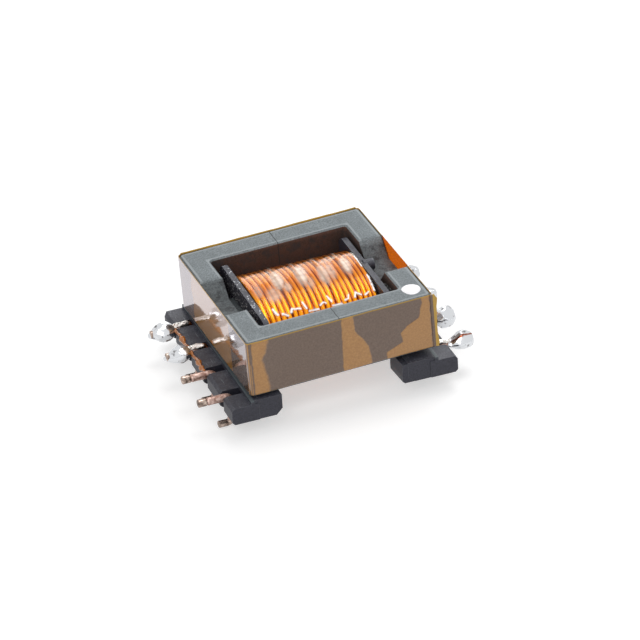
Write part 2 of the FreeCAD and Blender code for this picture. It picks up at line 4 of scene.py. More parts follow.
import bmesh
import bpy
import numpy as np
from mathutils import Matrix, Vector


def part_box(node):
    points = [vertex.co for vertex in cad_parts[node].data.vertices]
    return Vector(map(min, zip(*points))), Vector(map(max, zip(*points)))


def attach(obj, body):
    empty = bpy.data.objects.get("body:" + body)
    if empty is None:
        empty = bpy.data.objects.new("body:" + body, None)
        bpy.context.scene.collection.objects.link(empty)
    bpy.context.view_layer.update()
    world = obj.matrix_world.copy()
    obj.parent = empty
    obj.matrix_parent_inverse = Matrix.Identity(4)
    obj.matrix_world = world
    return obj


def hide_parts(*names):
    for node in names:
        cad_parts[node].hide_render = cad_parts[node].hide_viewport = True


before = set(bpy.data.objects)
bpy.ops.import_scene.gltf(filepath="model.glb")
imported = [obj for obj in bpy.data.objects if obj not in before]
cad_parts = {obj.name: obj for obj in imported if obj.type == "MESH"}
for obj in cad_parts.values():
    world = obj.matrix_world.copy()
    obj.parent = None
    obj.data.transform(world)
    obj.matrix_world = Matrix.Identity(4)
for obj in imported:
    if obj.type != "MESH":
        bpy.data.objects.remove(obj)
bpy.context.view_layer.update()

# lengths are in millimetres and angles in degrees, in the part's frame
MM = 0.001

# the camera's direction, the place that it looks at, its distance and its lens
VIEW_AZIMUTH = -18.471
VIEW_ELEVATION = 30.475
VIEW_ROLL = -3.754
VIEW_AIM = (0.926, -0.173, 3.859)
VIEW_DISTANCE = 350.0
VIEW_LENS = 255.53
VIEW_SENSOR = 36.0

# each lamp's azimuth from the front, elevation, distance, size, and power in watts
LAMPS = {
    "lamp_top": (131, 69, 160, 88, 0.088),
    "lamp_back": (160, 22, 170, 60, 0.026),
    "lamp_front": (-35, 40, 170, 70, 0.046),
}
ROOM_LIGHT = 0.55
FLOOR_HALF = 400.0
# what the white floor gains where it is seen, so that it is white and keeps its shadow
FLOOR_LIFT = 0.52

# the core sits a little turned and tilted in the bobbin's play
CORE_TURN = 1.0
CORE_TILT = -1.4
CORE_LIFT = 3.45
CORE_HALF = 7.5
CORE_TALL = 4.65
WINDOW_X = 5.65
WINDOW_Y = 5.5

# the film tape round the core: its corners' radius, its gap and thickness, and the heights of its edges
TAPE_ROUND = 0.2
TAPE_GAP = 0.012
TAPE_THICK = 0.06
TAPE_BOTTOM = 0.12
TAPE_TOP = 4.62
TAPE_TOP_RIGHT = 4.63
TAPE_TOP_BACK = 4.71
# how far it stands off where the glue doesn't wet the core, and where its loose end starts
TAPE_OFF = 0.015
TAPE_END_FROM = 7.34

# the coil is an oval barrel of wire: half as wide and as high as this round its axis, with the oval's
# exponent; its upper half stands higher by the rise and leans back
COIL_AXIS = 4.85
COIL_WIDE = 4.8
COIL_HIGH = 2.57
COIL_OVAL = 2.3
COIL_RISE = 0.43
COIL_BACK = 0.3
COIL_END = 4.62
# the visible layer of wire, and how deep its ends are closed
WIRE_PITCH = 0.425
WIRE_LEAN = 0.22
WIRE_DEPTH = 0.42
VALLEY_DROP = 0.04
GROUP_GAP = 0.08
GROUP_TURNS = (5, 4, 4, 4, 4)
# X of each turn's middle, at one pitch with a small gap between groups, and X of the gaps
TURN_GROUP = np.repeat(np.arange(len(GROUP_TURNS)), GROUP_TURNS)
WOUND_LENGTH = TURN_GROUP.size * WIRE_PITCH + (len(GROUP_TURNS) - 1) * GROUP_GAP
TURN_X = -WOUND_LENGTH / 2 + (np.arange(TURN_GROUP.size) + 0.5) * WIRE_PITCH + TURN_GROUP * GROUP_GAP
LAST_TURNS = np.nonzero(np.diff(TURN_GROUP))[0]
GAP_X = (TURN_X[LAST_TURNS] + TURN_X[LAST_TURNS + 1]) / 2

# the film on the coil, how high it stands over the gaps between groups, and that ridge's width
FILM_RISE = 0.045
FILM_THICK = 0.033
TENT_HIGH = 0.11
TENT_WIDE = 0.32
# the air trapped under it, with painted reflections on it, as pale ovals, each with x and angle of its
# middle, half sizes and strength
SHEEN_AND_AIR_OVALS = (
    (-2.35, 91, 0.62, 18, 0.85), (-3.2, 73, 0.72, 14, 0.5), (-0.42, 91, 0.62, 20, 0.8),
    (1.2, 84, 0.6, 17, 0.7), (1.85, 86, 0.5, 15, 0.5), (3.25, 90, 0.55, 17, 0.85),
    (-4.1, 82, 0.4, 13, 0.35), (-1.95, 79, 0.4, 10, 0.6), (-0.1, 78, 0.4, 11, 0.45),
)
# painted highlights on its creases, as white strokes, each with x and angle where it starts and where it
# ends, and half its width
CREASE_HIGHLIGHTS = (
    (-3.78, 54, -3.6, 46, 0.1), (-3.2, 46, -2.85, 42, 0.1), (-2.55, 45, -2.42, 49, 0.1),
    (-2.42, 49, -1.75, 47, 0.08), (-1.45, 54, -1.3, 45.5, 0.08), (-0.2, 45, 0.1, 48.5, 0.07),
    (0.1, 48.5, 0.3, 46.5, 0.06), (0.55, 55, 0.75, 47, 0.08), (1.8, 44.5, 2.1, 45.5, 0.07),
    (2.1, 45.5, 2.2, 50, 0.08), (2.65, 45.5, 2.8, 51, 0.09), (2.8, 51, 3.2, 46.5, 0.08),
    (3.55, 45.5, 3.85, 48, 0.08), (-1.15, 41.5, -0.4, 41, 0.08), (0.75, 41.5, 1.5, 40.5, 0.08),
    (4.5, 100, 4.46, 84, 0.07), (4.45, 70, 4.42, 60, 0.09), (4.42, 57, 4.4, 49, 0.09),
)
# about the length of one degree round the coil's crest
CREST_ARC = 0.06

# the bobbin's rails, and the pins in them: a post above, a column, and a foot on the board
RAIL_OUTER = 9.15
RAIL_TOP = 2.8
PIN_ROWS = (-5.625, -1.875, 1.875, 5.625)
PIN_COLUMN = 8.45
PIN_RADIUS = 0.3
PIN_BEND = 0.5
POST_TIP = 11.1
POST_HIGH = 2.5
POST_NECK = 10.32
POST_COLLAR = 10.2
FOOT_TIP = 9.6
FOOT_HIGH = 0.27

# the coil's ends, and the solder on the posts: a lump's radius at some distances out
LEAD_RADIUS = 0.18
LEAD_BEND = 0.22
LEAD_LOW = 2.26
LUMP_LEFT_OUT = (9.17, 9.4, 9.9, 10.35, 10.75, 11.05, 11.24)
LUMP_LEFT_RADIUS = (0.66, 0.84, 0.88, 0.74, 0.52, 0.33, 0.18)
LUMP_RIGHT_OUT = (9.2, 9.5, 9.9, 10.4, 10.8, 11.05, 11.26)
LUMP_RIGHT_RADIUS = (0.42, 0.5, 0.7, 0.86, 0.9, 0.84, 0.66)
# its facets are cut as on a ball of about this radius
LUMP_BALL = 0.95

# the marking dot: its middle on the core, its radius, and the direction of its tail
DOT_X = 6.44
DOT_Y = -6.12
DOT_RADIUS = 0.69
DOT_RISE = 0.055
DOT_TAIL = 160

# the section of the front block's inner end, and where it starts and stops along the rail
NOSE_X = (5.66, 4.8, 4.63, 4.62, 4.7, 5.3)
NOSE_Z = (1.41, 1.41, 1.58, 2.2, 3.0, 3.0)
NOSE_Y = (-7.98, -5.67)


def linear(code):
    """An sRGB hex colour as linear RGBA."""
    channels = [int(code[i:i + 2], 16) / 255 for i in (1, 3, 5)]
    return [c / 12.92 if c <= 0.04045 else ((c + 0.055) / 1.055) ** 2.4 for c in channels] + [1.0]


def per_mm(size):
    """A texture's scale for features of that size in millimetres."""
    return 1.0 / (size * MM)


def add(tree, kind, inputs=(), **settings):
    """Adds a node with its settings, and fills its sockets by name, or those in use in their order.

    That order is place, scale, detail, roughness in a noise, and value, its low and high, the result's low
    and high in a Map Range. A hex colour turns linear, and a node stands for its first output in use."""
    node = tree.nodes.new("ShaderNode" + kind)
    for name, value in settings.items():
        setattr(node, name, value)
    if isinstance(inputs, dict):
        fills = [(node.inputs[name], value) for name, value in inputs.items()]
    else:
        fills = zip([socket for socket in node.inputs if socket.enabled], inputs)
    for socket, value in fills:
        if isinstance(value, bpy.types.Node):
            value = next(output for output in value.outputs if output.enabled)
        if isinstance(value, bpy.types.NodeSocket):
            tree.links.new(value, socket)
        else:
            socket.default_value = linear(value) if isinstance(value, str) else value
    return node


def make_material(surface):
    """A material with the name of the function that adds its nodes and returns its surface."""
    material = bpy.data.materials.new(surface.__name__)
    material.use_nodes = True
    tree = material.node_tree
    tree.nodes.clear()
    add(tree, "OutputMaterial", {"Surface": surface(tree)})
    return material


def smooth_noise(seed, longest, octaves, *places):
    """A smooth random height of about -1 to 1: sine waves of seeded direction, each octave twice as fine."""
    draw = np.random.default_rng(seed)
    total = 0.0
    weight = 0.0
    for octave in range(octaves):
        for _ in range(3):
            way = draw.normal(size=len(places))
            way /= np.linalg.norm(way)
            phase = draw.uniform(0, 2 * np.pi)
            along = sum(w * p for w, p in zip(way, places))
            total = total + np.sin(2 * np.pi * along * 2 ** octave / longest + phase) / 2 ** octave
        weight += 2.0 / 2 ** octave
    return total / weight


def soft_step(value, low, high):
    """Zero below low, one above high, and a smooth rise between: s s (3 - 2 s) of the share s of the way."""
    share = np.clip((value - low) / (high - low), 0, 1)
    return share * share * (3 - 2 * share)


def soft_band(value, rise_from, rise_to, fall_from, fall_to):
    """A soft step up and, further on, a soft step down again."""
    return soft_step(value, rise_from, rise_to) * (1 - soft_step(value, fall_from, fall_to))


def bell(value, middle, width):
    """One at the middle, and less to both sides as exp(-(distance / width) squared)."""
    return np.exp(-((value - middle) / width) ** 2)


def nearest(value, marks):
    """The distance from each value to the nearest of the marks."""
    return np.min(np.abs(value[..., None] - marks), axis=-1)


def full_turn(count):
    """Angles once round, as a row."""
    return np.linspace(0, 2 * np.pi, count, endpoint=False)[None, :]


def points_at(x, y, z):
    """Coordinates of any matching sizes as one array of points."""
    return np.stack(np.broadcast_arrays(x, y, z), axis=-1)


def core_axes():
    """The core's own X, Y and Z as columns: tilted about Y, then turned about Z."""
    turn, tilt = math.radians(CORE_TURN), math.radians(CORE_TILT)
    about_z = np.array([
        [math.cos(turn), -math.sin(turn), 0], [math.sin(turn), math.cos(turn), 0], [0, 0, 1],
    ])
    about_y = np.array([
        [math.cos(tilt), 0, math.sin(tilt)], [0, 1, 0], [-math.sin(tilt), 0, math.cos(tilt)],
    ])
    return about_z @ about_y


def seat(points):
    """Core places to the part's frame, along the core's axes and lifted."""
    return points @ core_axes().T + np.array([0, 0, CORE_LIFT])


def close_ends(rings):
    """Rings of points with each end ring's middle added, so that both ends are closed."""
    middles = np.broadcast_to(rings.mean(axis=1, keepdims=True), rings.shape)
    return np.concatenate([middles[:1], rings, middles[-1:]])


def grid_quads(rows, columns, close_rows):
    """Corner numbers of a grid's quads, closed along its rows, and across them where asked."""
    i = np.arange(rows if close_rows else rows - 1)[:, None]
    j = np.arange(columns)[None, :]
    down, along = (i + 1) % rows, (j + 1) % columns
    corners = [i * columns + j, i * columns + along, down * columns + along, down * columns + j]
    return np.stack(corners, axis=-1).reshape(-1, 4)


def make_piece(name, points, material, replaces=(), close_rows=False, fields=None, crease=45):
    """A grid of points as one smooth piece on the root body, sharp where faces turn by more than crease."""
    rows, columns = points.shape[:2]
    mesh = bpy.data.meshes.new(name)
    quads = grid_quads(rows, columns, close_rows)
    mesh.from_pydata((points.reshape(-1, 3) * MM).tolist(), [], quads.tolist())
    for field, values in (fields or {}).items():
        layer = mesh.attributes.new(field, "FLOAT", "POINT")
        layer.data.foreach_set("value", np.broadcast_to(values, (rows, columns)).astype(np.float32).ravel())
    shape = bmesh.new()
    shape.from_mesh(mesh)
    bmesh.ops.remove_doubles(shape, verts=shape.verts, dist=1e-7)
    bmesh.ops.dissolve_degenerate(shape, edges=shape.edges, dist=1e-8)
    bmesh.ops.recalc_face_normals(shape, faces=shape.faces)
    shape.to_mesh(mesh)
    shape.free()
    mesh.polygons.foreach_set("use_smooth", np.ones(len(mesh.polygons), bool))
    mesh.set_sharp_from_angle(angle=math.radians(crease))
    mesh.materials.append(material)
    piece = bpy.data.objects.new(name, mesh)
    bpy.context.scene.collection.objects.link(piece)
    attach(piece, "root")
    if replaces:
        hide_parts(*replaces)


def finish_node(name, material):
    """A CAD node that keeps its shape takes this material."""
    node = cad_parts[name]
    node.data.materials.clear()
    node.data.materials.append(material)


def set_camera():
    """The photograph's view: a long lens, tilted a little about its own axis."""
    azimuth, elevation, roll = (math.radians(a) for a in (VIEW_AZIMUTH, VIEW_ELEVATION, VIEW_ROLL))
    out = math.cos(elevation)
    back = np.array([math.sin(azimuth) * out, -math.cos(azimuth) * out, math.sin(elevation)])
    level = np.array([math.cos(azimuth), math.sin(azimuth), 0.0])
    upright = np.cross(back, level)
    right = math.cos(roll) * level + math.sin(roll) * upright
    up = math.cos(roll) * upright - math.sin(roll) * level
    camera = bpy.data.cameras.new("camera")
    camera.lens = VIEW_LENS
    camera.sensor_width = VIEW_SENSOR
    camera.clip_start = 0.01
    holder = bpy.data.objects.new("camera", camera)
    bpy.context.scene.collection.objects.link(holder)
    matrix = np.eye(4)
    matrix[:3, :3] = np.stack([right, up, back], axis=1)
    matrix[:3, 3] = (np.array(VIEW_AIM) + back * VIEW_DISTANCE) * MM
    holder.matrix_world = Matrix(matrix.tolist())
    bpy.context.scene.camera = holder


def seen_share(tree):
    """One for a ray that shows something to the eye, straight, mirrored or through clear film, else zero."""
    path = add(tree, "LightPath")
    seen = path.outputs["Is Camera Ray"]
    for ray in ("Is Glossy Ray", "Is Transmission Ray"):
        seen = add(tree, "Math", [seen, path.outputs[ray]], operation="MAXIMUM")
    return seen


def white_paper(tree):
    """Matt white paper: plain grey to the lamps, and lifted to white for the eye."""
    shader = add(tree, "BsdfPrincipled", {"Base Color": "#CDCDCD", "Roughness": 1.0})
    lift = add(tree, "Math", [seen_share(tree), FLOOR_LIFT], operation="MULTIPLY")
    glow = add(tree, "Emission", {"Color": "#FFFFFF", "Strength": lift})
    return add(tree, "AddShader", [shader, glow])


def set_light():
    """A white room and three soft lamps, with a pale floor that keeps the shadow."""
    scene = bpy.context.scene
    scene.view_settings.view_transform = "Standard"
    world = bpy.data.worlds.new("room")
    world.use_nodes = True
    tree = world.node_tree
    tree.nodes.clear()
    strength = add(tree, "MapRange", [seen_share(tree), 0, 1, ROOM_LIGHT, 1])
    background = add(tree, "Background", {"Color": "#FFFFFF", "Strength": strength})
    add(tree, "OutputWorld", {"Surface": background})
    scene.world = world
    for name, (azimuth, elevation, far, wide, power) in LAMPS.items():
        light = bpy.data.lights.new(name, "AREA")
        light.size = wide * MM
        light.energy = power
        lamp = bpy.data.objects.new(name, light)
        scene.collection.objects.link(lamp)
        a, e = math.radians(azimuth), math.radians(elevation)
        out = far * MM * math.cos(e)
        lamp.location = (out * math.sin(a), -out * math.cos(a), far * MM * math.sin(e))
        lamp.rotation_euler = (math.pi / 2 - e, 0, a)
    half = FLOOR_HALF * MM
    mesh = bpy.data.meshes.new("floor")
    corners = [(-half, -half, 0), (half, -half, 0), (half, half, 0), (-half, half, 0)]
    mesh.from_pydata(corners, [], [(0, 1, 2, 3)])
    mesh.materials.append(make_material(white_paper))
    floor = bpy.data.objects.new("floor", mesh)
    scene.collection.objects.link(floor)


def sintered_ferrite(tree):
    """Sintered manganese-zinc ferrite, ground on top: matt blue-grey, finely grained, with painted
    highlights on its edges.

    The walls inside the window are darker and browner, as painted shade with a painted reflection of the
    coil;
    faces low on the core are darker, with dark patches on the notches' slopes, and the two halves meet in a
    thin dark line."""
    place = add(tree, "TexCoord")
    spot = place.outputs["Object"]
    facing = add(tree, "SeparateXYZ", [place.outputs["Normal"]])
    where = add(tree, "SeparateXYZ", [spot])
    # grains of about 0.1 mm, drawn coarser than the real powder so that they show
    grain = add(tree, "TexNoise", [spot, per_mm(0.11), 3.0, 0.7])
    cloud = add(tree, "TexNoise", [spot, per_mm(1.6), 3.0])
    speckle = add(tree, "MapRange", [grain, 0.36, 0.64])
    top = add(tree, "Mix", [speckle, "#666D70", "#8E9598"], data_type="RGBA")
    shade = add(tree, "MapRange", [cloud, 0.3, 0.7, 0.9, 1.08])
    toned = add(tree, "Mix", [1.0, top, shade], data_type="RGBA", blend_type="MULTIPLY")
    # painted shade and a brown painted reflection of the coil on the walls inside the window: upright faces
    # within the window's outline
    upright, side_x, side_y = (
        add(tree, "Math", [value], operation="ABSOLUTE")
        for value in (facing.outputs["Z"], where.outputs["X"], where.outputs["Y"])
    )
    wall = add(tree, "MapRange", [upright, 0.55, 0.25])
    within_x = add(tree, "MapRange", [side_x, 6.1 * MM, 5.9 * MM])
    within_y = add(tree, "MapRange", [side_y, 6.0 * MM, 5.8 * MM])
    window = add(tree, "Math", [within_x, within_y], operation="MULTIPLY")
    inner = add(tree, "Math", [window, wall], operation="MULTIPLY")
    wall_shade_and_reflection = add(tree, "Mix", [speckle, "#513E36", "#665048"], data_type="RGBA")
    walls = add(tree, "Mix", [inner, toned, wall_shade_and_reflection], data_type="RGBA")
    # dark patches low on the notches' slopes and floors, and all faces low on the core a little darker
    low = add(tree, "MapRange", [where.outputs["Z"], 7.95 * MM, 7.7 * MM])
    patch_noise = add(tree, "TexNoise", [spot, per_mm(0.7), 5.0, 0.7])
    patchy = add(tree, "MapRange", [patch_noise, 0.5, 0.62, 0, 0.75])
    low_dark_patch = add(tree, "Math", [low, patchy], operation="MULTIPLY")
    low_darkening = add(tree, "MapRange", [low, 0, 1, 1.0, 0.62])
    dull = add(tree, "Mix", [1.0, walls, low_darkening], data_type="RGBA", blend_type="MULTIPLY")
    # the core's own X and Y, undoing its turn and tilt, and how far a place is past the window's outline
    across, inward, _ = core_axes().T
    lie = add(tree, "VectorMath", [spot, across], operation="DOT_PRODUCT")
    moved = add(tree, "Math", [lie, -CORE_LIFT * MM * across[2]], operation="ADD")
    depth = add(tree, "VectorMath", [spot, inward], operation="DOT_PRODUCT")
    core_x, core_y = (add(tree, "Math", [value], operation="ABSOLUTE") for value in (moved, depth))
    past_x = add(tree, "Math", [core_x, WINDOW_X * MM], operation="SUBTRACT")
    past_y = add(tree, "Math", [core_y, WINDOW_Y * MM], operation="SUBTRACT")
    past = add(tree, "Math", [past_x, past_y], operation="MAXIMUM")
    far = add(tree, "Math", [core_x, core_y], operation="MAXIMUM")
    # painted highlights, paler bands where the edges round over: within about 0.3 mm of the window's and of
    # the outer outline
    sway = add(tree, "TexNoise", [spot, per_mm(0.9), 3.0])
    stray = add(tree, "Math", [sway, 0.12 * MM, -0.06 * MM], operation="MULTIPLY_ADD")
    from_window, from_side = (add(tree, "Math", [value, stray], operation="ADD") for value in (past, far))
    band_in = add(tree, "MapRange", [from_window, 0.3 * MM, 0.24 * MM])
    band_out = add(tree, "MapRange", [from_side, (CORE_HALF - 0.32) * MM, (CORE_HALF - 0.26) * MM])
    bands = add(tree, "Math", [band_in, band_out], operation="MAXIMUM")
    level = add(tree, "MapRange", [facing.outputs["Z"], 0.85, 0.95])
    raised = add(tree, "MapRange", [where.outputs["Z"], 7.6 * MM, 7.8 * MM])
    ground = add(tree, "Math", [level, raised], operation="MULTIPLY")
    outside = add(tree, "Math", [1.0, inner], operation="SUBTRACT")
    upper = add(tree, "Math", [ground, outside], operation="MULTIPLY")
    edge_highlight = add(tree, "Math", [upper, bands], operation="MULTIPLY")
    faint_edge_highlight = add(tree, "Math", [edge_highlight, 0.6], operation="MULTIPLY")
    # the butt joint: the core's own X is zero there
    wander = add(tree, "TexNoise", [spot, per_mm(0.5), 2.0])
    drift = add(tree, "Math", [wander, 0.06 * MM, -0.03 * MM], operation="MULTIPLY_ADD")
    strayed = add(tree, "Math", [moved, drift], operation="ADD")
    apart = add(tree, "Math", [strayed], operation="ABSOLUTE")
    seam = add(tree, "MapRange", [apart, 0.055 * MM, 0.02 * MM, 0, 0.85])
    colour = dull
    for share, code in ((low_dark_patch, "#333335"), (faint_edge_highlight, "#A6ADB0"), (seam, "#26282A")):
        colour = add(tree, "Mix", [share, colour, code], data_type="RGBA")
    bump = add(tree, "Bump", {"Height": grain, "Strength": 0.35, "Distance": 0.02 * MM})
    return add(tree, "BsdfPrincipled", {
        "Base Color": colour, "Roughness": 0.72, "Specular IOR Level": 0.4, "Normal": bump,
    })


def moulded_phenolic(tree):
    """Black glass-filled phenolic, moulded: dull, paler on dusty tops, with painted highlights on scuffed
    edges, and specks.
    """
    place = add(tree, "TexCoord")
    spot = place.outputs["Object"]
    facing = add(tree, "SeparateXYZ", [place.outputs["Normal"]])
    where = add(tree, "SeparateXYZ", [spot])
    x, z = where.outputs["X"], where.outputs["Z"]
    fine = add(tree, "TexNoise", [spot, per_mm(0.14), 3.0, 0.7])
    cloud = add(tree, "TexNoise", [spot, per_mm(0.9), 4.0, 0.6])
    mottle = add(tree, "MapRange", [fine, 0.3, 0.7])
    body = add(tree, "Mix", [mottle, "#20202A", "#3A3A45"], data_type="RGBA")
    # dust lies on faces that look up
    up = add(tree, "MapRange", [facing.outputs["Z"], 0.5, 0.9])
    patch = add(tree, "MapRange", [cloud, 0.38, 0.68, 0, 0.6])
    dusty = add(tree, "Math", [up, patch], operation="MULTIPLY")
    dust = add(tree, "Math", [dusty, mottle], operation="MULTIPLY")
    # short scratches along the rails, a few hundredths of a millimetre wide
    stretch = add(tree, "Mapping", {"Vector": spot, "Scale": (1.0, 0.12, 1.0), "Rotation": (0, 0, 0.5)})
    lines = add(tree, "TexNoise", [stretch, per_mm(0.12), 2.0])
    scratch = add(tree, "MapRange", [lines, 0.66, 0.72, 0, 0.6])
    on_top = add(tree, "Math", [scratch, up], operation="MULTIPLY")
    # bright specks high on the flange at the left
    cells = add(tree, "TexVoronoi", {"Vector": spot, "Scale": per_mm(0.2)})
    dots = add(tree, "MapRange", [cells, 0.34, 0.22])
    left = add(tree, "MapRange", [x, -4.6 * MM, -4.75 * MM])
    high = add(tree, "MapRange", [z, 5.0 * MM, 6.0 * MM])
    some = add(tree, "MapRange", [cloud, 0.43, 0.49])
    speck_left = add(tree, "Math", [left, high], operation="MULTIPLY")
    speck_some = add(tree, "Math", [dots, some], operation="MULTIPLY")
    speck = add(tree, "Math", [speck_left, speck_some], operation="MULTIPLY")
    # scuffed edges with painted highlights: where a rounded normal leaves the flat one
    rounded = add(tree, "Bevel", {"Radius": 0.09 * MM}, samples=8)
    flat = add(tree, "NewGeometry")
    match = add(tree, "VectorMath", [rounded, flat.outputs["Normal"]], operation="DOT_PRODUCT")
    edge = add(tree, "MapRange", [match, 0.98, 0.8, 0, 0.55])
    broken = add(tree, "MapRange", [cloud, 0.35, 0.6, 0.25, 1])
    edge_highlight = add(tree, "Math", [edge, broken], operation="MULTIPLY")
    # painted highlight: the rim beside the core is pale along its top
    side = add(tree, "Math", [x], operation="ABSOLUTE")
    rim_in = add(tree, "MapRange", [side, 7.28 * MM, 7.36 * MM])
    rim_out = add(tree, "MapRange", [side, 7.66 * MM, 7.58 * MM])
    rim_top = add(tree, "MapRange", [z, 2.95 * MM, 3.08 * MM, 0, 0.8])
    low_part = add(tree, "MapRange", [z, 3.4 * MM, 3.2 * MM])
    rim_band = add(tree, "Math", [rim_in, rim_out], operation="MULTIPLY")
    rim_low = add(tree, "Math", [rim_top, low_part], operation="MULTIPLY")
    rim_highlight = add(tree, "Math", [rim_band, rim_low], operation="MULTIPLY")
    colour = body
    for share, code in (
        (dust, "#70747C"), (on_top, "#8B8F96"), (speck, "#DDE0E4"), (edge_highlight, "#6C7077"), (rim_highlight, "#5C666A"),
    ):
        colour = add(tree, "Mix", [share, colour, code], data_type="RGBA")
    bump = add(tree, "Bump", {"Height": fine, "Strength": 0.4, "Distance": 0.02 * MM})
    return add(tree, "BsdfPrincipled", {
        "Base Color": colour, "Roughness": 0.5, "Specular IOR Level": 0.45, "Normal": bump,
    })


def enamelled_copper_wire(tree):
    """Copper wire under orange enamel: bright metal seen through clear orange, painted red-brown shade in
    the valleys.
    """
    depth, tone_and_crest_shade = (add(tree, "Attribute", attribute_name=name).outputs["Fac"] for name in ("depth", "tone_and_crest_shade"))
    # the crown's colour: random tone, and painted shade over the crest
    crown = add(tree, "Mix", [tone_and_crest_shade, "#F8B018", "#CE760A"], data_type="RGBA")
    # painted shade: deep red-brown where the valleys are deep, and on the barrel's closed ends
    colour = add(tree, "Mix", [depth, crown, "#98400C"], data_type="RGBA")
    return add(tree, "BsdfPrincipled", {
        "Base Color": colour, "Metallic": 0.97, "Roughness": 0.3,
        "Coat Weight": 0.05, "Coat Roughness": 0.08,
    })


def clear_polyester_film(tree):
    """Thin clear film, drawn tight: see-through, sharp reflections, milky with painted sheen on trapped air,
    painted highlights on creases.
    """
    haze_and_sheen, crease = (
        add(tree, "Attribute", attribute_name=name).outputs["Fac"] for name in ("haze_and_sheen", "crease")
    )
    place = add(tree, "TexCoord")
    fine = add(tree, "TexNoise", [place.outputs["Object"], per_mm(0.5), 3.0])
    uneven = add(tree, "MapRange", [fine, 0.3, 0.7, 0.65, 1.15])
    haze_and_sheen_share = add(tree, "Math", [haze_and_sheen, uneven], operation="MULTIPLY")
    through = add(tree, "BsdfTransparent", {"Color": "#FFFAF2"})
    pale = add(tree, "BsdfPrincipled", {"Base Color": "#FFF0DC", "Roughness": 0.3})
    # painted highlights: the film's creases turn white
    white = add(tree, "BsdfPrincipled", {"Base Color": "#FFFFFF", "Roughness": 0.2})
    body = add(tree, "MixShader", [haze_and_sheen_share, through, pale])
    with_crease_highlights = add(tree, "MixShader", [crease, body, white])
    gloss = add(tree, "BsdfGlossy", {"Color": "#FFFFFF", "Roughness": 0.07})
    # the mirror share: almost nothing head on, a fifth at the lowest angles
    lean = add(tree, "LayerWeight", {"Blend": 0.5})
    rise = add(tree, "Math", [lean.outputs["Facing"], 3.5], operation="POWER")
    share = add(tree, "Math", [rise, 0.2, 0.004], operation="MULTIPLY_ADD")
    return add(tree, "MixShader", [share, with_crease_highlights, gloss])


def polyimide_film_tape(tree):
    """Amber polyimide film with silicone glue: taupe where it wets the ferrite, golden where it stands off.

    It mirrors at low angles, lets light through where nothing backs it, and is yellow at its cut edges."""
    wet, free, cut = (
        add(tree, "Attribute", attribute_name=name).outputs["Fac"] for name in ("wet", "free", "cut")
    )
    place = add(tree, "TexCoord")
    grain = add(tree, "TexNoise", [place.outputs["Object"], per_mm(0.15), 3.0, 0.75])
    speckle = add(tree, "MapRange", [grain, 0.3, 0.7])
    taupe = add(tree, "Mix", [speckle, "#624D3C", "#79624E"], data_type="RGBA")
    golden = add(tree, "Mix", [speckle, "#AA7639", "#C28F4A"], data_type="RGBA")
    stuck = add(tree, "Mix", [wet, golden, taupe], data_type="RGBA")
    colour = add(tree, "Mix", [cut, stuck, "#C99C22"], data_type="RGBA")
    body = add(tree, "BsdfPrincipled", {"Base Color": colour, "Roughness": 0.4, "Specular IOR Level": 0.2})
    amber = add(tree, "BsdfTransparent", {"Color": "#E4A436"})
    glow = add(tree, "BsdfTranslucent", {"Color": "#D08414"})
    lit = add(tree, "MixShader", [0.35, amber, glow])
    open_film = add(tree, "MixShader", [free, body, lit])
    gloss = add(tree, "BsdfGlossy", {"Color": (0.96, 0.94, 1.0, 1), "Roughness": 0.05})
    # the mirror share: a few percent head on, about half at 15 degrees to the film, less where it is free
    lean = add(tree, "LayerWeight", {"Blend": 0.5})
    rise = add(tree, "Math", [lean.outputs["Facing"], 2.4], operation="POWER")
    backed = add(tree, "Math", [free, -0.8, 1.0], operation="MULTIPLY_ADD")
    mirror = add(tree, "Math", [rise, 0.87, 0.035], operation="MULTIPLY_ADD")
    share = add(tree, "Math", [mirror, backed], operation="MULTIPLY")
    return add(tree, "MixShader", [share, open_film, gloss])


def drawn_copper(tree):
    """Round copper-clad pin wire: pinkish drawn copper with die lines, tinned at the tip and the foot."""
    tin = add(tree, "Attribute", attribute_name="tin")
    place = add(tree, "TexCoord")
    spot = place.outputs["Object"]
    blot = add(tree, "TexNoise", [spot, per_mm(0.35), 4.0])
    stain = add(tree, "MapRange", [blot, 0.35, 0.65])
    copper = add(tree, "Mix", [stain, "#8E6C60", "#E6CABF"], data_type="RGBA")
    tinned = add(tree, "Mix", [stain, "#5E4F47", "#C9B5A8"], data_type="RGBA")
    # the tin stops along a ragged line
    ragged = add(tree, "Math", [stain, 0.5, -0.25], operation="MULTIPLY_ADD")
    reach = add(tree, "Math", [tin.outputs["Fac"], ragged], operation="ADD")
    coated = add(tree, "MapRange", [reach, 0.4, 0.6])
    colour = add(tree, "Mix", [coated, copper, tinned], data_type="RGBA")
    rough = add(tree, "MapRange", [coated, 0, 1, 0.42, 0.24])
    lines = add(tree, "TexNoise", [spot, per_mm(0.12), 2.0])
    bump = add(tree, "Bump", {"Height": lines, "Strength": 0.3, "Distance": 0.03 * MM})
    return add(tree, "BsdfPrincipled", {
        "Base Color": colour, "Metallic": 0.85, "Roughness": rough, "Normal": bump,
    })


def tin_solder(tree):
    """Tin solder, hand applied: bright cold silver with flat facets and a few dull dross spots.

    Where a strand of copper lies under it, a red-brown line shows."""
    copper = add(tree, "Attribute", attribute_name="copper")
    place = add(tree, "TexCoord")
    dross = add(tree, "TexNoise", [place.outputs["Object"], per_mm(0.45), 3.0])
    spots = add(tree, "MapRange", [dross, 0.6, 0.67, 0, 0.75])
    silver = add(tree, "Mix", [spots, "#D8DADD", "#4A4644"], data_type="RGBA")
    colour = add(tree, "Mix", [copper.outputs["Fac"], silver, "#8A4420"], data_type="RGBA")
    return add(tree, "BsdfPrincipled", {"Base Color": colour, "Metallic": 1.0, "Roughness": 0.16})


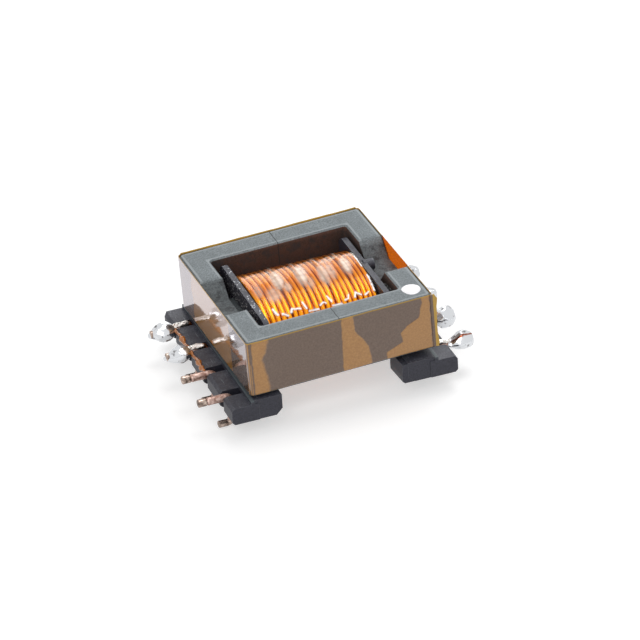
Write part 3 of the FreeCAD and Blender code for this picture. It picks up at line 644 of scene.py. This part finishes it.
def stripped_copper_wire(tree):
    """Stripped coil wire, dipped in solder near the pins: reddish copper, then silver."""
    tin = add(tree, "Attribute", attribute_name="tin")
    place = add(tree, "TexCoord")
    blot = add(tree, "TexNoise", [place.outputs["Object"], per_mm(0.3), 3.0])
    ragged = add(tree, "Math", [blot, 0.8, -0.4], operation="MULTIPLY_ADD")
    reach = add(tree, "Math", [tin.outputs["Fac"], ragged], operation="ADD")
    coated = add(tree, "MapRange", [reach, 0.4, 0.6])
    colour = add(tree, "Mix", [coated, "#B4673A", "#DCD8D2"], data_type="RGBA")
    return add(tree, "BsdfPrincipled", {"Base Color": colour, "Metallic": 0.9, "Roughness": 0.22})


def white_marking_paint(tree):
    """Thick white marking paint: glossy, faintly uneven."""
    place = add(tree, "TexCoord")
    tint = add(tree, "TexNoise", [place.outputs["Object"], per_mm(0.8), 2.0])
    colour = add(tree, "Mix", [tint, "#F4F3F8", "#FFFFFF"], data_type="RGBA")
    return add(tree, "BsdfPrincipled", {
        "Base Color": colour, "Roughness": 0.35, "Coat Weight": 0.4, "Coat Roughness": 0.1,
    })


def black_epoxy_cement(tree):
    """Black epoxy cement: wet-looking and lumpy, with small bright glints."""
    place = add(tree, "TexCoord")
    lumps = add(tree, "TexNoise", [place.outputs["Object"], per_mm(0.25), 4.0])
    glints = add(tree, "MapRange", [lumps, 0.6, 0.66, 0, 0.8])
    colour = add(tree, "Mix", [glints, "#161414", "#B0A8A2"], data_type="RGBA")
    bump = add(tree, "Bump", {"Height": lumps, "Strength": 0.8, "Distance": 0.08 * MM})
    return add(tree, "BsdfPrincipled", {"Base Color": colour, "Roughness": 0.15, "Normal": bump})


def dried_rosin_flux(tree):
    """Dried rosin flux: clear dark amber with a wet gloss."""
    place = add(tree, "TexCoord")
    blot = add(tree, "TexNoise", [place.outputs["Object"], per_mm(0.4), 3.0])
    colour = add(tree, "Mix", [blot, "#6A3008", "#E08A30"], data_type="RGBA")
    return add(tree, "BsdfPrincipled", {
        "Base Color": colour, "Roughness": 0.12, "Coat Weight": 0.5, "Coat Roughness": 0.05,
    })


def oval(angle, wide, high):
    """Y and Z on a superellipse round the coil's axis; angle 0 is the front and 90 degrees the top.

    Each is a half size times the cosine or sine to the power 2 / exponent, with its sign. The upper half
    stands a little higher than the lower one and leans back."""
    c, s = np.cos(angle), np.sin(angle)
    y = -wide * np.sign(c) * np.abs(c) ** (2 / COIL_OVAL) + COIL_BACK * np.clip(s, 0, None)
    z = COIL_AXIS + (high + COIL_RISE * (s > 0)) * np.sign(s) * np.abs(s) ** (2 / COIL_OVAL)
    return y, z


def coil_points(x, rise, angle):
    """Points of the coil's barrel: x along it, rise above its oval, angle round it; the turns lean."""
    room = 1 - np.clip(np.abs(x) / COIL_END, 0, 1) ** 5
    y, z = oval(angle, COIL_WIDE + rise, COIL_HIGH + rise)
    return points_at(x + WIRE_LEAN * np.sin(angle) * room, y, z)


def make_winding(material):
    """The outer winding: across a turn the rise follows a circle, r (cos t - 1), at x = middle + r sin t.

    The turns wander a little, and the valleys between their groups are deeper."""
    t = np.radians(np.linspace(-82, 82, 11))
    radius = WIRE_PITCH / 2 / math.sin(t[-1])
    x = (TURN_X[:, None] + radius * np.sin(t)).reshape(-1, 1)
    rise = np.tile(radius * (np.cos(t) - 1), TURN_X.size)[:, None]
    rise = rise - VALLEY_DROP * (1 - soft_step(nearest(x, GAP_X), 0.02, 0.1))
    # how deep a place lies in a valley, for the painted shade there
    depth = soft_step(-rise, 0.05, 0.19)
    angle = full_turn(180)
    number = np.repeat(np.arange(TURN_X.size), t.size)[:, None]
    loose = 0.018 * smooth_noise(5, 3.0, 2, number * 7.3, angle * 2)
    outer = coil_points(x + loose, rise + 0.6 * loose, angle)
    ends = np.array([COIL_END, -COIL_END])[:, None]
    inner = points_at(ends, *oval(angle, COIL_WIDE - WIRE_DEPTH, COIL_HIGH - WIRE_DEPTH))
    # tone that differs at random, and painted shade that darkens the turns over the crest
    tone_and_crest_shade = 0.25 + 0.25 * smooth_noise(8, 2.4, 2, number * 3.1, angle * 3)
    tone_and_crest_shade = np.clip(tone_and_crest_shade + 0.6 * soft_step(angle, math.radians(64), math.radians(84)), 0, 1)
    # the barrel's closed ends take the full painted shade
    dark = np.ones((2, angle.size))
    fields = {
        "depth": np.concatenate([np.broadcast_to(depth, tone_and_crest_shade.shape), dark]),
        "tone_and_crest_shade": np.concatenate([tone_and_crest_shade, dark]),
    }
    make_piece("winding_outer", np.concatenate([outer, inner]), material,
               ("outer_winding",), True, fields, 75)


def haze_and_painted_sheen(x, degrees, sway):
    """How milky the film is: ovals of trapped air and painted sheen, a painted highlight by each tent,
    painted reflections on the crest.
    """
    haze_and_sheen = 0.0
    for middle_x, middle_angle, half_x, half_angle, strength in SHEEN_AND_AIR_OVALS:
        lean = (degrees - middle_angle) * 0.012
        far = np.hypot((x - middle_x - lean) / half_x, (degrees - middle_angle) / half_angle)
        haze_and_sheen = np.maximum(haze_and_sheen, strength * (1 - soft_step(far, 0.3, 1.12)))
    # it shows less over the valleys between the wires
    from_wire = nearest(x, TURN_X) / (0.5 * WIRE_PITCH)
    haze_and_sheen = haze_and_sheen * (0.92 - 0.25 * soft_step(from_wire, 0.5, 1.0))
    # painted highlight: a pale line beside each tent
    beside = nearest(x + sway - 0.17, GAP_X)
    haze_and_sheen = np.maximum(haze_and_sheen, 0.36 * soft_band(degrees, 64, 84, 112, 122) * bell(beside, 0, 0.07))
    # painted reflections: pale arcs across the crest
    arcs = np.abs(smooth_noise(19, 2.6, 2, x, degrees / 14))
    return np.maximum(haze_and_sheen, 0.3 * soft_band(degrees, 94, 102, 108, 116) * (1 - soft_step(arcs, 0.02, 0.12)))


def crease_highlights(x, degrees):
    """Painted highlights on the creases: white near a stroke, by the distance to its line, ragged at the
    edges.
    """
    crease = 0.0
    ragged = smooth_noise(17, 0.5, 2, x, degrees * CREST_ARC)
    for x_from, angle_from, x_to, angle_to, half_wide in CREASE_HIGHLIGHTS:
        run_x, run_arc = x_to - x_from, (angle_to - angle_from) * CREST_ARC
        arc = (degrees - angle_from) * CREST_ARC
        share = np.clip(((x - x_from) * run_x + arc * run_arc) / (run_x ** 2 + run_arc ** 2), 0, 1)
        far = np.hypot(x - x_from - share * run_x, arc - share * run_arc) * (1 + 0.35 * ragged)
        crease = np.maximum(crease, 1 - soft_step(far, 0.5 * half_wide, 1.2 * half_wide))
    return crease


def make_coil_film(material):
    """The film round the coil: the barrel raised by a little, by wrinkles, by folds low in front, and by
    tents over the gaps between groups, each a height on the crest times exp(-distance / width)."""
    x = np.linspace(-COIL_END + 0.02, COIL_END + 0.02, 240)[:, None]
    angle = full_turn(320)
    degrees = np.degrees(angle)
    crest = soft_band(degrees, 62, 100, 150, 200)
    sway = 0.1 * smooth_noise(3, 4.0, 2, degrees / 25, x * 0.3)
    tent = TENT_HIGH * crest * np.exp(-nearest(x + sway - 0.12 * crest, GAP_X) / TENT_WIDE)
    wrinkle = 0.014 * smooth_noise(11, 1.8, 2, x, angle * 2.4)
    folds = 0.012 * np.abs(smooth_noise(14, 0.9, 2, x, angle * 3.0)) * soft_band(degrees, 32, 40, 48, 56)
    outer = coil_points(x, FILM_RISE + tent + wrinkle * (0.4 + crest) + folds, angle)
    inner = coil_points(x[::-1][::8], FILM_RISE - FILM_THICK, angle)
    blank = np.zeros(inner.shape[:2])
    # the crease field carries the painted highlights on the creases
    fields = {
        "haze_and_sheen": np.concatenate([haze_and_painted_sheen(x, degrees, sway), blank]),
        "crease": np.concatenate([crease_highlights(x, degrees), blank]),
    }
    make_piece("coil_film", np.concatenate([outer, inner]), material,
               ("coil_wrap",), True, fields, 80)


def tape_walk(walk):
    """The tape's way round the core: eight spans, four sides and four corners, from the front left.

    On a side the corner centre slides along and the normal stays; at a corner only the normal turns."""
    reach = CORE_HALF - TAPE_ROUND
    spans = np.arange(9)
    centre_x = np.interp(walk, spans, reach * np.array([-1, 1, 1, 1, 1, -1, -1, -1, -1]))
    centre_y = np.interp(walk, spans, reach * np.array([-1, -1, -1, 1, 1, 1, 1, -1, -1]))
    normal = np.radians(np.interp(walk, spans, [-90, -90, 0, 0, 90, 90, 180, 180, 270]))
    return centre_x, centre_y, normal


def front_patches(x, z):
    """Where the tape wets the core's front face: 1 for stuck, 0 for the golden patches that stand off.

    Each patch's edge is a line of x against height, drawn a little wavy."""
    first = np.interp(z, [0.8, 2.0, 3.0, 3.6, 4.5], [-5.98, -6.19, -6.43, -6.05, -5.81])
    middle_left = np.interp(z, [0.4, 4.6], [-0.04, 0.1])
    middle_right = np.interp(z, [0.4, 1.66, 3.3, 4.5], [2.28, 2.14, 1.13, 1.06])
    last = np.interp(z, [0.7, 1.23, 2.03, 2.5, 2.95, 4.23], [3.54, 4.93, 4.79, 5.29, 6.31, 6.66])
    soft = 0.06
    x = x + 0.05 * smooth_noise(21, 0.9, 3, x, z)
    band = soft_band(x, -7.25, -7.15, first - 3 * soft, first + 2 * soft)
    patch = soft_band(x, middle_left - soft, middle_left + soft, middle_right - soft, middle_right + soft)
    right = soft_band(x, last - soft, last + soft, 7.22, 7.3)
    return 1 - np.clip(band + patch + right, 0, 1)


def make_core_tape(material):
    """The tape round the core: its walk round the core by its section, a flat loop of outer and inner face.

    A place is the corner centre plus the normal times its distance, at a height between the two edges."""
    # places on each side, and seven round the corner after it
    spans = []
    for number, count in enumerate((280, 90, 90, 120)):
        start = 2 * number
        spans += [np.linspace(start, start + 1, count), np.linspace(start + 1, start + 2, 9)[1:-1]]
    walk = np.concatenate(spans)[:, None]
    centre_x, centre_y, normal = tape_walk(walk)
    front, back = (walk <= 1), (walk >= 4) & (walk <= 5)
    outer_rows, inner_rows = 76, 30
    rise = np.concatenate([np.linspace(0, 1, outer_rows), [1], np.linspace(1, 0, inner_rows), [0]])[None, :]
    out = np.concatenate([np.ones(outer_rows), [0.5], np.zeros(inner_rows), [0.5]])[None, :]
    along = walk * 2 * CORE_HALF
    top = np.where(back, TAPE_TOP_BACK, TAPE_TOP) + 0.02 * smooth_noise(31, 5.0, 3, along)
    top = np.where((walk >= 2) & (walk <= 3), TAPE_TOP_RIGHT, top)
    bottom = TAPE_BOTTOM + 0.03 * smooth_noise(32, 6.0, 3, along)
    lip = 0.03 * (np.abs(rise - 0.5) >= 0.5) * (np.abs(out - 0.5) < 0.1) * np.sign(rise - 0.5)
    z = bottom + (top - bottom) * rise + lip
    stand = 0.012 * smooth_noise(33, 9.0, 2, along, z)
    wet_rest = soft_step(smooth_noise(35, 7.0, 2, along, 0.8 * z), -0.1, 0.05)
    # on the left face the film stands off over the notch
    wet_left = soft_step(centre_y + 0.15 * smooth_noise(36, 2.0, 2, z, centre_y), 4.6, 4.75)
    wet_left = np.maximum(wet_left, soft_step(-centre_y, 3.6, 3.8))
    wet_rest = np.where((walk > 6) & (walk < 7), wet_left, wet_rest)
    wet = np.where(front, front_patches(centre_x, z), wet_rest)
    lifted = TAPE_GAP + 0.012 + stand + np.where(front, TAPE_OFF * (1 - wet), 0)
    offset = TAPE_ROUND + lifted + TAPE_THICK * out
    # over the notch at the right nothing backs the film
    right = (walk > 2) & (walk < 3)
    half_open = np.interp(z, [3.0, CORE_TALL], [1.35, 2.7])
    free = right * (1 - soft_step(np.abs(centre_y), half_open - 0.1, half_open)) * soft_step(z, 2.95, 3.05)
    cut = np.maximum(soft_step(z, top - 0.07, top - 0.03) * np.where(back, 1.0, 0.7),
                     0.15 * (1 - soft_step(z, bottom + 0.02, bottom + 0.07)))
    points = points_at(centre_x + offset * np.cos(normal), centre_y + offset * np.sin(normal), z)
    make_piece("film_tape", seat(points), material, ("core_tape",), True,
               {"wet": wet, "free": free, "cut": cut}, 50)


def make_tape_end(material):
    """The tape's loose end: it leaves the front face at the right corner and stands straight on past it.

    Its edge is a line of x against height, and between its start and that edge x goes by the share."""
    count = 14
    high = np.linspace(0.1, 4.68, 90)[:, None]
    far = np.interp(high, [0.1, 0.5, 1.4, 2.5, 3.6, 4.3, 4.68], [7.74, 7.8, 7.72, 7.75, 7.79, 7.88, 7.66])
    far = far + 0.015 * smooth_noise(41, 0.9, 3, high)
    share = np.concatenate([np.linspace(0, 1, count), np.linspace(1, 0, count)])[None, :]
    face = np.repeat([1.0, 0.0], count)[None, :]
    x = TAPE_END_FROM + (far - TAPE_END_FROM) * share
    y = -(CORE_HALF + TAPE_GAP + TAPE_THICK + 0.055) - 0.03 * share ** 2
    y = y + 0.02 * smooth_noise(43, 2.0, 2, high, share) - (TAPE_THICK - 0.005) * (face - 0.5)
    cut = soft_step(x, 7.5, 7.56)
    fields = {"cut": np.concatenate([cut[:1], cut, cut[-1:]]), "free": 0.0, "wet": 1.0}
    points = close_ends(seat(points_at(x, y, high)))
    make_piece("tape_loose_end", points, material, fields=fields, crease=50)


def bent_route(corners, bend, count):
    """Runs through the corners, each corner rounded by a parabola that starts a bend before it.

    The route is then divided into count places, closer together at its ends."""
    corners = np.array(corners, float)
    t = np.linspace(0, 1, 13)[:, None]
    pieces = [corners[:1]]
    for before, corner, after in zip(corners, corners[1:], corners[2:]):
        start = corner + bend * (before - corner) / np.linalg.norm(before - corner)
        end = corner + bend * (after - corner) / np.linalg.norm(after - corner)
        pieces.append((1 - t) ** 2 * start + 2 * t * (1 - t) * corner + t ** 2 * end)
    pieces.append(corners[-1:])
    line = np.concatenate(pieces)
    run = np.concatenate([[0], np.cumsum(np.linalg.norm(np.diff(line, axis=0), axis=1))])
    place = run[-1] * (1 - np.cos(np.pi * np.linspace(0, 1, count))) / 2
    return np.stack([np.interp(place, run, line[:, k]) for k in range(3)], axis=1), place[:, None]


def wire_tube(route, radius, flat=1.0):
    """A wire round a route: each ring is the route's place plus the radius times a normal that turns.

    flat squashes the ring along its upright normal."""
    ahead = np.gradient(route, axis=0)
    ahead /= np.linalg.norm(ahead, axis=1, keepdims=True)
    up = np.cross(ahead, (0.0, 1.0, 0.0))
    up /= np.linalg.norm(up, axis=1, keepdims=True)
    side = np.cross(up, ahead)
    turn = full_turn(radius.shape[1])[..., None]
    ring = np.cos(turn) * flat * up[:, None, :] + np.sin(turn) * side[:, None, :]
    return route[:, None, :] + radius[..., None] * ring


def end_round(place, length):
    """Radius factor of a wire with rounded ends: a quarter circle over the last stretch of that length."""
    near = np.minimum(place, place[-1] - place)
    return np.sqrt(np.clip(1 - (1 - np.clip(near / length, 0, 1)) ** 2, 0, 1))


def make_terminal(number, side, y, material):
    """A pin bent to a C: post above, column in the rail, foot below.

    The radius has a small collar, then a neck, then a thicker tinned tip, and the foot is a little flat."""
    corners = [(side * POST_TIP, y, POST_HIGH), (side * PIN_COLUMN, y, POST_HIGH),
               (side * PIN_COLUMN, y, FOOT_HIGH), (side * FOOT_TIP, y, FOOT_HIGH)]
    route, place = bent_route(corners, PIN_BEND, 190)
    reach, high = np.abs(route[:, :1]), route[:, 2:]
    on_post = soft_step(high, 2.2, 2.4)
    on_foot = 1 - soft_step(high, 0.3, 0.5)
    stub = soft_step(reach, POST_NECK + 0.04, POST_NECK + 0.13) * on_post
    neck = bell(reach, POST_NECK, 0.05) * on_post
    collar = bell(reach, POST_COLLAR, 0.06) * on_post
    radius = (PIN_RADIUS + 0.005 - 0.04 * neck + 0.015 * stub + 0.015 * collar) * end_round(place, 0.1)
    turn = full_turn(32)
    uneven = 1 + 0.02 * smooth_noise(50 + number, 1.2, 3, place, np.cos(turn), np.sin(turn))
    tin = np.clip(stub + 0.8 * on_foot, 0, 1)
    # the two posts that carry solder at the left are tinned from the rail outwards
    if number in (5, 6):
        tin = np.maximum(tin, on_post * soft_step(reach, 8.75, 9.05))
    flat = (1 - 0.12 * on_foot)[..., None]
    make_piece(f"pin_{number}", wire_tube(route, radius * uneven, flat), material,
               (f"terminal_{number}",), False, {"tin": tin})


def make_lead(number, side, y, material):
    """A coil end: out under the core beside its pin, up behind the rail, over the post and into the solder.

    It is a wire round that route, thicker and lumpy where the solder has reached."""
    outer = abs(y) > 3
    first_y = math.copysign(4.15, y) if outer else y
    corners = [(side * 4.66, first_y, LEAD_LOW), (side * 5.2, first_y, LEAD_LOW), (side * 6.95, y, LEAD_LOW),
               (side * 7.78, y, 2.3), (side * 7.86, y, 2.82), (side * 9.45, y, 2.74)]
    if not outer:
        del corners[1]
    route, place = bent_route(corners, LEAD_BEND, 150)
    turn = full_turn(20)
    dipped = soft_step(np.abs(route[:, :1]), 7.7, 8.3)
    lumps = 1 + (0.03 + 0.2 * dipped) * smooth_noise(70 + number, 0.7, 2, place, np.sin(turn))
    radius = LEAD_RADIUS * (1 + 0.25 * dipped) * end_round(place, 0.06)
    make_piece(f"coil_end_{number}", wire_tube(route, radius * lumps), material,
               (f"lead_{number}",), False, {"tin": 0.15 + 0.85 * dipped})


def facets(seed, count, depth, *direction):
    """How far a faceted lump reaches along a direction: the nearest of some seeded planes cut it off."""
    draw = np.random.default_rng(seed)
    reach = 1.0
    for _ in range(count):
        plane = draw.normal(size=3)
        plane /= np.linalg.norm(plane)
        facing = sum(p * d for p, d in zip(plane, direction))
        reach = np.minimum(reach, draw.uniform(1 - depth, 1.0) / np.maximum(facing, 0.05))
    return reach


def make_joint(number, side, y, material):
    """A solder lump round the post: a radius along the post times cut facets, its axis sagging outward."""
    if side < 0:
        outs, radii, sag, seed, cuts = LUMP_LEFT_OUT, LUMP_LEFT_RADIUS, -0.1, 80 + number, 26
    else:
        outs, radii, sag, seed, cuts = LUMP_RIGHT_OUT, LUMP_RIGHT_RADIUS, 0.05, 95 + number, 14
    size = 0.8 if number in (3, 4) else 1.0
    share = ((1 - np.cos(np.pi * np.linspace(0, 1, 72))) / 2)[:, None]
    x = outs[0] + (outs[-1] - outs[0]) * share
    # a smooth curve along the radii: the fifth-degree polynomial that fits them best
    radius = size * np.polyval(np.polyfit(outs, radii, 5), x)
    angle = full_turn(64)
    level = (x - (x[0] + x[-1]) / 2) / LUMP_BALL
    cut = facets(seed, cuts, 0.3, level, np.cos(angle), np.sin(angle))
    ring = radius * (0.2 + 0.8 * np.clip(cut, 0.6, 1.0))
    ring = ring * (1 + 0.05 * smooth_noise(seed + 7, 1.3, 2, level, np.cos(angle), np.sin(angle)))
    sink = sag * ((x - x[0]) / (x[-1] - x[0])) ** 2
    points = points_at(side * x, y + ring * np.sin(angle), POST_HIGH + sink + ring * np.cos(angle))
    copper = np.zeros((points.shape[0] + 2, angle.size))
    # on the first lump a strand of copper shows as a slanting line
    if number == 1:
        line = np.degrees(np.arctan2(np.sin(angle), np.cos(angle)))
        copper[1:-1] = (1 - soft_step(np.abs(line + 35 - 14 * level), 4, 9)) * soft_step(level, -0.9, -0.6)
    make_piece(f"solder_lump_{number}", close_ends(points), material,
               (f"solder_joint_{number}",), False, {"copper": copper}, 24)


def make_dot(material):
    """The marking dot: a domed spot with a short tail, its edge a radius that swells towards the tail.

    The dome is the rise times the root of 1 - share cubed."""
    angle = full_turn(72)
    under, over = 8, 16
    share = np.concatenate([np.linspace(0, 1, under), np.linspace(1, 0, over)])[:, None]
    upper = np.repeat([0.0, 1.0], (under, over))[:, None]
    tail = np.degrees(np.angle(np.exp(1j * (angle - math.radians(DOT_TAIL)))))
    edge = DOT_RADIUS + 0.07 * bell(tail, 0, 24) + 0.015 * np.sin(3 * angle + 1)
    x = DOT_X + edge * share * np.cos(angle)
    y = DOT_Y + 1.12 * edge * share * np.sin(angle)
    z = CORE_TALL + 0.005 + upper * DOT_RISE * np.sqrt(np.clip(1 - share ** 3, 0, 1))
    make_piece("marking_dot", seat(points_at(x, y, z)), material, ("polarity_dot",))


def make_cement_bead(material):
    """The cement: a lumpy rounded block in the solid's place, a superellipsoid with a random skin."""
    low, high = (np.array(corner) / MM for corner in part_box("core_cement"))
    polar = np.linspace(0, np.pi, 60)[:, None]
    angle = full_turn(80)
    block = 0.55
    flat = np.abs(np.sin(polar)) ** block
    x = flat * np.sign(np.cos(angle)) * np.abs(np.cos(angle)) ** block
    y = flat * np.sign(np.sin(angle)) * np.abs(np.sin(angle)) ** block
    z = np.sign(np.cos(polar)) * np.abs(np.cos(polar)) ** block + 0 * angle
    skin = 1 - 0.16 * np.abs(smooth_noise(61, 0.9, 3, x, y * 3, z * 3))
    points = (low + high) / 2 + points_at(x, y, z) * skin[..., None] * (high - low) / 2
    make_piece("cement_bead", points, material, ("core_cement",))


def make_block_nose(material):
    """The right front block's slanted inner end: a section in X and Z, moved along Y, further in behind."""
    x = np.array(NOSE_X)
    y = np.linspace(*NOSE_Y, 12)[:, None]
    inward = 0.12 * (y - y[0]) / (y[-1] - y[0]) * (x < 5.0)
    points = close_ends(points_at(x - inward, y, NOSE_Z))
    make_piece("rail_block_nose", points, material, crease=50)


def make_flux_line(material):
    """Flux dried along the left rail's outer top edge: a thin bead whose radius swells here and there."""
    y = np.linspace(5.5, -1.6, 220)[:, None]
    wander = 0.03 * smooth_noise(51, 2.0, 3, y)
    swell = bell(y, 3.6, 0.35) + 0.9 * bell(y, -0.2, 0.3) + 0.7 * bell(y, -1.0, 0.22)
    radius = (0.12 + 0.15 * swell + 0.025 * smooth_noise(52, 0.6, 2, y)) * end_round(np.abs(y - y[0]), 0.2)
    turn = full_turn(16)
    x = -RAIL_OUTER + 0.06 + wander + radius * np.cos(turn)
    z = RAIL_TOP - 0.14 + wander + radius * np.sin(turn)
    make_piece("flux_line", points_at(x, y, z), material)


set_camera()
set_light()

ferrite = make_material(sintered_ferrite)
moulding = make_material(moulded_phenolic)
wire = make_material(enamelled_copper_wire)
film = make_material(clear_polyester_film)
tape = make_material(polyimide_film_tape)
pin_metal = make_material(drawn_copper)
solder = make_material(tin_solder)
stripped = make_material(stripped_copper_wire)

finish_node("core_half_left", ferrite)
finish_node("core_half_right", ferrite)
finish_node("bobbin", moulding)
finish_node("inner_winding", wire)
finish_node("interlayer_film", film)

make_winding(wire)
make_coil_film(film)
make_core_tape(tape)
make_tape_end(tape)
for index, row in enumerate(PIN_ROWS):
    make_terminal(index + 1, 1, row, pin_metal)
    make_terminal(8 - index, -1, row, pin_metal)
for number in range(1, 7):
    side = 1 if number <= 4 else -1
    row = PIN_ROWS[number - 1] if number <= 4 else PIN_ROWS[8 - number]
    make_lead(number, side, row, stripped)
    make_joint(number, side, row, solder)
make_dot(make_material(white_marking_paint))
make_cement_bead(make_material(black_epoxy_cement))
make_flux_line(make_material(dried_rosin_flux))
make_block_nose(moulding)
